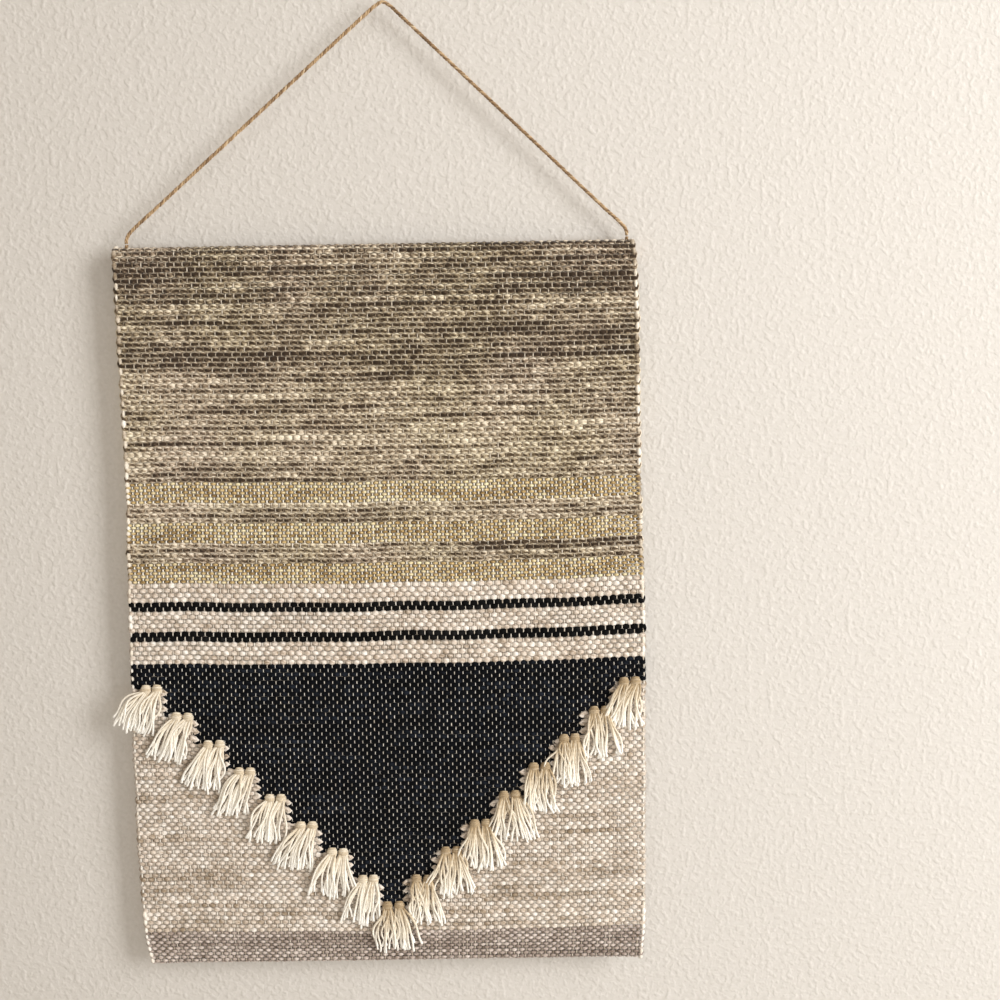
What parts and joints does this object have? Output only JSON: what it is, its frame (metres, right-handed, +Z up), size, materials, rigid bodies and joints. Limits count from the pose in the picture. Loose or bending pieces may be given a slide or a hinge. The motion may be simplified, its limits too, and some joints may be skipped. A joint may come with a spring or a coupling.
{
  "type": "tapestry wall hanging",
  "caption": "Hand-woven banded panel with a stepped V of cotton tassels, hung by jute twine from a hidden dowel.",
  "frame": {"origin": "the point where the twine rests on its nail, under the middle of the twine's bend", "axes": "+Z up; the front of the weave faces -Y and the wall is on the +Y side; +X is to the right of someone who faces the hanging"},
  "size_m": [0.4492, 0.0229, 0.8098],
  "materials": {
    "woven_cotton": "thick hand-woven cotton weft on a cream warp, in taupe, straw, cream and near-black bands",
    "fringe_cotton": "soft cream cotton strands",
    "jute_twine": "golden-brown twisted jute with loose fibres",
    "dowel_wood": "plain sanded softwood dowel",
    "sewing_thread": "cream cotton sewing thread"
  },
  "bodies": {
    "hanger": {"hanger_cord": "jute_twine"},
    "panel": {"woven_panel": "woven_cotton", "dowel_rod": "dowel_wood", "cord_tail_left": "jute_twine", "cord_tail_right": "jute_twine", "sleeve_stitching": "sewing_thread", "hem_stitching": "sewing_thread"},
    "tassel_left_8_body": {"tassel_left_8": "fringe_cotton"},
    "tassel_left_7_body": {"tassel_left_7": "fringe_cotton"},
    "tassel_left_6_body": {"tassel_left_6": "fringe_cotton"},
    "tassel_left_5_body": {"tassel_left_5": "fringe_cotton"},
    "tassel_left_4_body": {"tassel_left_4": "fringe_cotton"},
    "tassel_left_3_body": {"tassel_left_3": "fringe_cotton"},
    "tassel_left_2_body": {"tassel_left_2": "fringe_cotton"},
    "tassel_left_1_body": {"tassel_left_1": "fringe_cotton"},
    "tassel_centre_body": {"tassel_centre": "fringe_cotton"},
    "tassel_right_1_body": {"tassel_right_1": "fringe_cotton"},
    "tassel_right_2_body": {"tassel_right_2": "fringe_cotton"},
    "tassel_right_3_body": {"tassel_right_3": "fringe_cotton"},
    "tassel_right_4_body": {"tassel_right_4": "fringe_cotton"},
    "tassel_right_5_body": {"tassel_right_5": "fringe_cotton"},
    "tassel_right_6_body": {"tassel_right_6": "fringe_cotton"},
    "tassel_right_7_body": {"tassel_right_7": "fringe_cotton"},
    "tassel_right_8_body": {"tassel_right_8": "fringe_cotton"}
  },
  "joints": [
    {"name": "panel_swing", "type": "hinge", "parent": "hanger", "child": "panel", "pos_m": [-0.01, 0, -0.1888], "axis": [-1, 0, 0], "range_deg": [0, 90]},
    {"name": "tassel_left_8_swing", "type": "hinge", "parent": "panel", "child": "tassel_left_8_body", "pos_m": [-0.21235, -0.01159, -0.5642], "axis": [-1, 0, 0], "range_deg": [0, 150]},
    {"name": "tassel_left_7_swing", "type": "hinge", "parent": "panel", "child": "tassel_left_7_body", "pos_m": [-0.18706, -0.01159, -0.5886], "axis": [-1, 0, 0], "range_deg": [0, 150]},
    {"name": "tassel_left_6_swing", "type": "hinge", "parent": "panel", "child": "tassel_left_6_body", "pos_m": [-0.16176, -0.01159, -0.613], "axis": [-1, 0, 0], "range_deg": [0, 150]},
    {"name": "tassel_left_5_swing", "type": "hinge", "parent": "panel", "child": "tassel_left_5_body", "pos_m": [-0.13647, -0.01159, -0.6374], "axis": [-1, 0, 0], "range_deg": [0, 150]},
    {"name": "tassel_left_4_swing", "type": "hinge", "parent": "panel", "child": "tassel_left_4_body", "pos_m": [-0.11118, -0.01159, -0.6618], "axis": [-1, 0, 0], "range_deg": [0, 150]},
    {"name": "tassel_left_3_swing", "type": "hinge", "parent": "panel", "child": "tassel_left_3_body", "pos_m": [-0.08588, -0.01159, -0.6862], "axis": [-1, 0, 0], "range_deg": [0, 150]},
    {"name": "tassel_left_2_swing", "type": "hinge", "parent": "panel", "child": "tassel_left_2_body", "pos_m": [-0.06059, -0.01159, -0.7106], "axis": [-1, 0, 0], "range_deg": [0, 150]},
    {"name": "tassel_left_1_swing", "type": "hinge", "parent": "panel", "child": "tassel_left_1_body", "pos_m": [-0.03529, -0.01159, -0.735], "axis": [-1, 0, 0], "range_deg": [0, 150]},
    {"name": "tassel_centre_swing", "type": "hinge", "parent": "panel", "child": "tassel_centre_body", "pos_m": [-0.01, -0.01159, -0.7594], "axis": [-1, 0, 0], "range_deg": [0, 150]},
    {"name": "tassel_right_1_swing", "type": "hinge", "parent": "panel", "child": "tassel_right_1_body", "pos_m": [0.01529, -0.01159, -0.735], "axis": [-1, 0, 0], "range_deg": [0, 150]},
    {"name": "tassel_right_2_swing", "type": "hinge", "parent": "panel", "child": "tassel_right_2_body", "pos_m": [0.04059, -0.01159, -0.7106], "axis": [-1, 0, 0], "range_deg": [0, 150]},
    {"name": "tassel_right_3_swing", "type": "hinge", "parent": "panel", "child": "tassel_right_3_body", "pos_m": [0.06588, -0.01159, -0.6862], "axis": [-1, 0, 0], "range_deg": [0, 150]},
    {"name": "tassel_right_4_swing", "type": "hinge", "parent": "panel", "child": "tassel_right_4_body", "pos_m": [0.09118, -0.01159, -0.6618], "axis": [-1, 0, 0], "range_deg": [0, 150]},
    {"name": "tassel_right_5_swing", "type": "hinge", "parent": "panel", "child": "tassel_right_5_body", "pos_m": [0.11647, -0.01159, -0.6374], "axis": [-1, 0, 0], "range_deg": [0, 150]},
    {"name": "tassel_right_6_swing", "type": "hinge", "parent": "panel", "child": "tassel_right_6_body", "pos_m": [0.14177, -0.01159, -0.613], "axis": [-1, 0, 0], "range_deg": [0, 150]},
    {"name": "tassel_right_7_swing", "type": "hinge", "parent": "panel", "child": "tassel_right_7_body", "pos_m": [0.16706, -0.01159, -0.5886], "axis": [-1, 0, 0], "range_deg": [0, 150]},
    {"name": "tassel_right_8_swing", "type": "hinge", "parent": "panel", "child": "tassel_right_8_body", "pos_m": [0.19235, -0.01159, -0.5642], "axis": [-1, 0, 0], "range_deg": [0, 150]}
  ]
}
